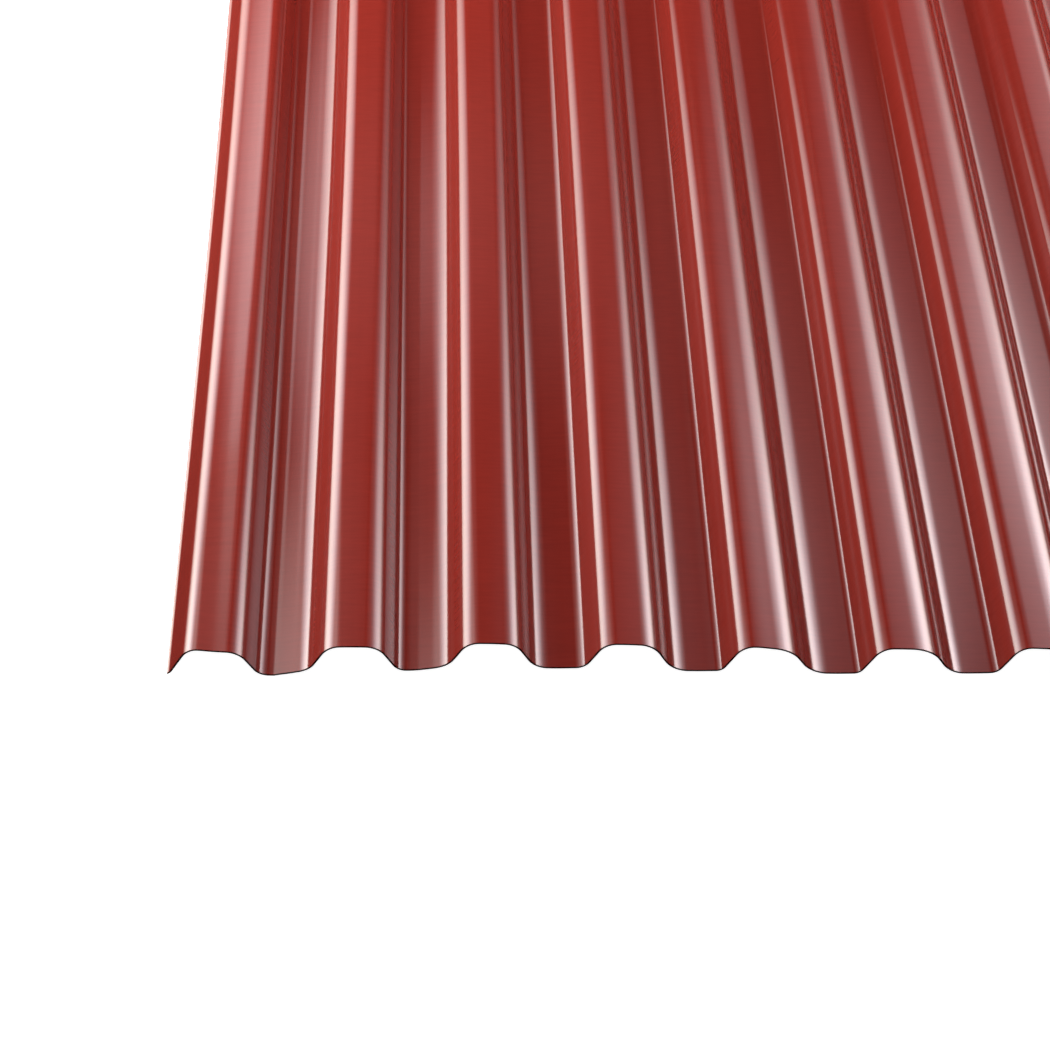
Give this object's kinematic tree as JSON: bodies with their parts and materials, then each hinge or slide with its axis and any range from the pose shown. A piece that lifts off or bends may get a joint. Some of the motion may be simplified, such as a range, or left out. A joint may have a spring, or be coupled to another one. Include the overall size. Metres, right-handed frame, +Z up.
{
  "type": "trapezoidal pvc sheet",
  "caption": "Flat rigid PVC roofing and cladding sheet with an even trapezoidal wave across its width, red-brown, trimmed square at both ends.",
  "frame": {"origin": "middle of the underside: halfway along and across the sheet, on the plane that the valleys rest on", "axes": "+X across the corrugations, +Y along the corrugations, +Z up, out of the crests"},
  "size_m": [1.095, 2, 0.018],
  "materials": {
    "pvc": "satin"
  },
  "bodies": {
    "root": {"sheet": "pvc"}
  },
  "joints": []
}
